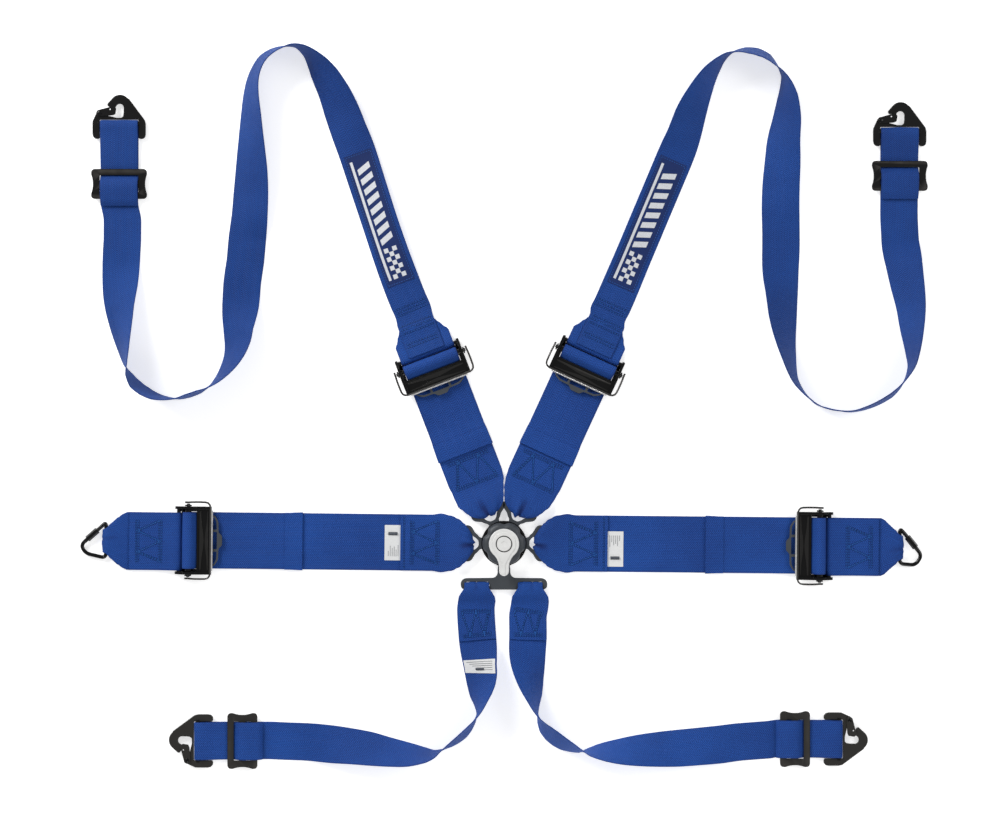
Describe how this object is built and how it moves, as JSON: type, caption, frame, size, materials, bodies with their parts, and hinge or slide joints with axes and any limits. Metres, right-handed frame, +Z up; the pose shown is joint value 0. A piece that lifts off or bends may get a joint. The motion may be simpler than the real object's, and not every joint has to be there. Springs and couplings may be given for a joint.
{
  "type": "racing harness",
  "caption": "Motorsport safety harness with a rotary-release buckle, wide lap and shoulder webbing, strap adjusters, snap hooks and quick links, laid flat.",
  "frame": {"origin": "the rotary buckle's axis at the buckle's flat back, which lies on the floor", "axes": "+Z up from the floor along the buckle's axis, +Y towards the shoulder straps, +X towards the harness's right lap strap in plan"},
  "size_m": [1.1282, 0.9632, 0.05],
  "materials": {
    "blue webbing": "woven polyester webbing, matt, fine diagonal weave",
    "navy label": "woven label, matt",
    "white tag": "printed care tag, matt",
    "black steel": "black coated steel, satin to gloss",
    "dark alloy": "dark grey coated alloy, satin",
    "satin steel": "silver, satin"
  },
  "bodies": {
    "buckle": {"buckle_base_plate": "black steel", "buckle_housing": "dark alloy", "lever_return_spring": "satin steel"},
    "lever": {"release_lever": "satin steel", "lever_badge": "dark alloy", "lever_spindle": "satin steel"},
    "latch": {"latch_pin_plate": "satin steel"},
    "shoulder_left_strap": {"shoulder_tongue_left": "dark alloy", "shoulder_strap_left": "blue webbing", "shoulder_left_adjuster_frame": "black steel"},
    "shoulder_left_slide_bar": {"shoulder_left_slide_bar": "black steel"},
    "shoulder_left_adjuster_spring": {"shoulder_left_adjuster_spring": "black steel"},
    "shoulder_left_upper": {"shoulder_connector_webbing_left": "blue webbing", "shoulder_upper_strap_left": "blue webbing", "shoulder_label_left": "navy label", "shoulder_left_slider": "black steel"},
    "lap_left_strap": {"lap_tongue_left": "dark alloy", "lap_strap_left": "blue webbing", "lap_left_adjuster_frame": "black steel", "lap_tag_left": "white tag"},
    "lap_left_slide_bar": {"lap_left_slide_bar": "black steel"},
    "lap_left_adjuster_spring": {"lap_left_adjuster_spring": "black steel"},
    "lap_left_anchor": {"lap_anchor_webbing_left": "blue webbing"},
    "lap_left_link": {"lap_quick_link_left": "black steel"},
    "lap_left_link_sleeve": {"lap_link_sleeve_left": "black steel"},
    "shoulder_right_strap": {"shoulder_tongue_right": "dark alloy", "shoulder_strap_right": "blue webbing", "shoulder_right_adjuster_frame": "black steel"},
    "shoulder_right_slide_bar": {"shoulder_right_slide_bar": "black steel"},
    "shoulder_right_adjuster_spring": {"shoulder_right_adjuster_spring": "black steel"},
    "shoulder_right_upper": {"shoulder_connector_webbing_right": "blue webbing", "shoulder_upper_strap_right": "blue webbing", "shoulder_label_right": "navy label", "shoulder_right_slider": "black steel"},
    "lap_right_strap": {"lap_tongue_right": "dark alloy", "lap_strap_right": "blue webbing", "lap_right_adjuster_frame": "black steel", "lap_tag_right": "white tag"},
    "lap_right_slide_bar": {"lap_right_slide_bar": "black steel"},
    "lap_right_adjuster_spring": {"lap_right_adjuster_spring": "black steel"},
    "lap_right_anchor": {"lap_anchor_webbing_right": "blue webbing"},
    "lap_right_link": {"lap_quick_link_right": "black steel"},
    "lap_right_link_sleeve": {"lap_link_sleeve_right": "black steel"},
    "crotch_plate": {"crotch_tongue_plate": "dark alloy"},
    "crotch_left_strap": {"crotch_strap_left": "blue webbing", "crotch_left_slider": "black steel", "crotch_tag_left": "white tag"},
    "crotch_right_strap": {"crotch_strap_right": "blue webbing", "crotch_right_slider": "black steel"},
    "shoulder_left_hook": {"shoulder_left_hook": "black steel"},
    "shoulder_left_gate": {"shoulder_left_hook_gate": "black steel"},
    "shoulder_right_hook": {"shoulder_right_hook": "black steel"},
    "shoulder_right_gate": {"shoulder_right_hook_gate": "black steel"},
    "crotch_left_hook": {"crotch_left_hook": "black steel"},
    "crotch_left_gate": {"crotch_left_hook_gate": "black steel"},
    "crotch_right_hook": {"crotch_right_hook": "black steel"},
    "crotch_right_gate": {"crotch_right_hook_gate": "black steel"}
  },
  "joints": [
    {"name": "lever_turn", "type": "hinge", "parent": "buckle", "child": "lever", "pos_m": [0, 0, 0.022], "axis": [0, 0, 1], "range_deg": [0, 60], "stiffness_Nm_per_rad": 0.2},
    {"name": "latch_lift", "type": "slide", "parent": "buckle", "child": "latch", "axis": [0, 0, 1], "range_m": [0, 0.002]},
    {"name": "shoulder_left_tongue_release", "type": "slide", "parent": "buckle", "child": "shoulder_left_strap", "axis": [-0.4384, 0.8988, 0], "range_m": [0, 0.04]},
    {"name": "shoulder_left_bar_slide", "type": "slide", "parent": "shoulder_left_strap", "child": "shoulder_left_slide_bar", "axis": [0.3576, -0.9339, 0], "range_m": [0, 0.0015], "stiffness_N_per_m": 200},
    {"name": "shoulder_left_wire_lift", "type": "hinge", "parent": "shoulder_left_strap", "child": "shoulder_left_adjuster_spring", "pos_m": [-0.097, 0.2405, 0.0105], "axis": [-0.9339, -0.3576, 0], "range_deg": [0, 60], "stiffness_Nm_per_rad": 0.02},
    {"name": "shoulder_left_fold", "type": "hinge", "parent": "shoulder_left_strap", "child": "shoulder_left_upper", "pos_m": [-0.10179, 0.25301, 0.005], "axis": [0.9339, 0.3576, 0], "range_deg": [0, 45]},
    {"name": "lap_left_tongue_release", "type": "slide", "parent": "buckle", "child": "lap_left_strap", "axis": [-1, 0, 0], "range_m": [0, 0.04]},
    {"name": "lap_left_bar_slide", "type": "slide", "parent": "lap_left_strap", "child": "lap_left_slide_bar", "axis": [0.9999, -0.0112, 0], "range_m": [0, 0.0015], "stiffness_N_per_m": 200},
    {"name": "lap_left_wire_lift", "type": "hinge", "parent": "lap_left_strap", "child": "lap_left_adjuster_spring", "pos_m": [-0.4196, 0.0041, 0.0105], "axis": [-0.0112, -0.9999, 0], "range_deg": [0, 60], "stiffness_Nm_per_rad": 0.02},
    {"name": "lap_left_fold", "type": "hinge", "parent": "lap_left_strap", "child": "lap_left_anchor", "pos_m": [-0.433, 0.00425, 0.005], "axis": [0.0112, 0.9999, 0], "range_deg": [0, 60]},
    {"name": "lap_left_link_swing", "type": "hinge", "parent": "lap_left_anchor", "child": "lap_left_link", "pos_m": [-0.52959, 0.00533, 0.005], "axis": [0.0112, 0.9999, 0], "range_deg": [0, 90]},
    {"name": "lap_left_sleeve_travel", "type": "slide", "parent": "lap_left_link", "child": "lap_left_link_sleeve", "axis": [0.7486, 0.663, 0], "range_m": [0, 0.003]},
    {"name": "shoulder_right_tongue_release", "type": "slide", "parent": "buckle", "child": "shoulder_right_strap", "axis": [0.4384, 0.8988, 0], "range_m": [0, 0.04]},
    {"name": "shoulder_right_bar_slide", "type": "slide", "parent": "shoulder_right_strap", "child": "shoulder_right_slide_bar", "axis": [-0.4179, -0.9085, 0], "range_m": [0, 0.0015], "stiffness_N_per_m": 200},
    {"name": "shoulder_right_wire_lift", "type": "hinge", "parent": "shoulder_right_strap", "child": "shoulder_right_adjuster_spring", "pos_m": [0.1128, 0.2424, 0.0105], "axis": [-0.9085, 0.4179, 0], "range_deg": [0, 60], "stiffness_Nm_per_rad": 0.02},
    {"name": "shoulder_right_fold", "type": "hinge", "parent": "shoulder_right_strap", "child": "shoulder_right_upper", "pos_m": [0.1184, 0.25457, 0.005], "axis": [0.9085, -0.4179, 0], "range_deg": [0, 45]},
    {"name": "lap_right_tongue_release", "type": "slide", "parent": "buckle", "child": "lap_right_strap", "axis": [1, 0, 0], "range_m": [0, 0.04]},
    {"name": "lap_right_bar_slide", "type": "slide", "parent": "lap_right_strap", "child": "lap_right_slide_bar", "axis": [-1, 0.0092, 0], "range_m": [0, 0.0015], "stiffness_N_per_m": 200},
    {"name": "lap_right_wire_lift", "type": "hinge", "parent": "lap_right_strap", "child": "lap_right_adjuster_spring", "pos_m": [0.4196, -0.0034, 0.0105], "axis": [0.0092, 1, 0], "range_deg": [0, 60], "stiffness_Nm_per_rad": 0.02},
    {"name": "lap_right_fold", "type": "hinge", "parent": "lap_right_strap", "child": "lap_right_anchor", "pos_m": [0.433, -0.00352, 0.005], "axis": [-0.0092, -1, 0], "range_deg": [0, 60]},
    {"name": "lap_right_link_swing", "type": "hinge", "parent": "lap_right_anchor", "child": "lap_right_link", "pos_m": [0.5266, -0.00439, 0.005], "axis": [-0.0092, -1, 0], "range_deg": [0, 90]},
    {"name": "lap_right_sleeve_travel", "type": "slide", "parent": "lap_right_link", "child": "lap_right_link_sleeve", "axis": [-0.6174, 0.7866, 0], "range_m": [0, 0.003]},
    {"name": "crotch_tongue_release", "type": "slide", "parent": "buckle", "child": "crotch_plate", "axis": [0, -1, 0], "range_m": [0, 0.04]},
    {"name": "crotch_left_fold", "type": "hinge", "parent": "crotch_plate", "child": "crotch_left_strap", "pos_m": [-0.0362, -0.0593, 0.00725], "axis": [-1, 0, 0], "range_deg": [0, 45]},
    {"name": "crotch_right_fold", "type": "hinge", "parent": "crotch_plate", "child": "crotch_right_strap", "pos_m": [0.0348, -0.0593, 0.00725], "axis": [-1, 0, 0], "range_deg": [0, 45]},
    {"name": "shoulder_left_hook_swing", "type": "hinge", "parent": "shoulder_left_upper", "child": "shoulder_left_hook", "pos_m": [-0.512, 0.5581, 0.0054], "axis": [1, 0, 0], "range_deg": [0, 60]},
    {"name": "shoulder_left_gate_open", "type": "hinge", "parent": "shoulder_left_hook", "child": "shoulder_left_gate", "pos_m": [-0.5375, 0.5721, 0.0086], "axis": [0, 0, -1], "range_deg": [0, 20], "stiffness_Nm_per_rad": 0.01},
    {"name": "shoulder_right_hook_swing", "type": "hinge", "parent": "shoulder_right_upper", "child": "shoulder_right_hook", "pos_m": [0.5265, 0.5484, 0.0054], "axis": [1, 0, 0], "range_deg": [0, 60]},
    {"name": "shoulder_right_gate_open", "type": "hinge", "parent": "shoulder_right_hook", "child": "shoulder_right_gate", "pos_m": [0.501, 0.5624, 0.0086], "axis": [0, 0, -1], "range_deg": [0, 20], "stiffness_Nm_per_rad": 0.01},
    {"name": "crotch_left_hook_swing", "type": "hinge", "parent": "crotch_left_strap", "child": "crotch_left_hook", "pos_m": [-0.4072, -0.263, 0.0054], "axis": [0, 1, 0], "range_deg": [0, 60]},
    {"name": "crotch_left_gate_open", "type": "hinge", "parent": "crotch_left_hook", "child": "crotch_left_gate", "pos_m": [-0.4212, -0.2885, 0.0086], "axis": [0, 0, -1], "range_deg": [0, 20], "stiffness_Nm_per_rad": 0.01},
    {"name": "crotch_right_hook_swing", "type": "hinge", "parent": "crotch_right_strap", "child": "crotch_right_hook", "pos_m": [0.4455, -0.2605, 0.0054], "axis": [0, -1, 0], "range_deg": [0, 60]},
    {"name": "crotch_right_gate_open", "type": "hinge", "parent": "crotch_right_hook", "child": "crotch_right_gate", "pos_m": [0.4595, -0.235, 0.0086], "axis": [0, 0, -1], "range_deg": [0, 20], "stiffness_Nm_per_rad": 0.01}
  ],
  "couplings": [
    {"joint": "latch_lift", "follows": "lever_turn", "m_per_rad": 0.0019}
  ]
}
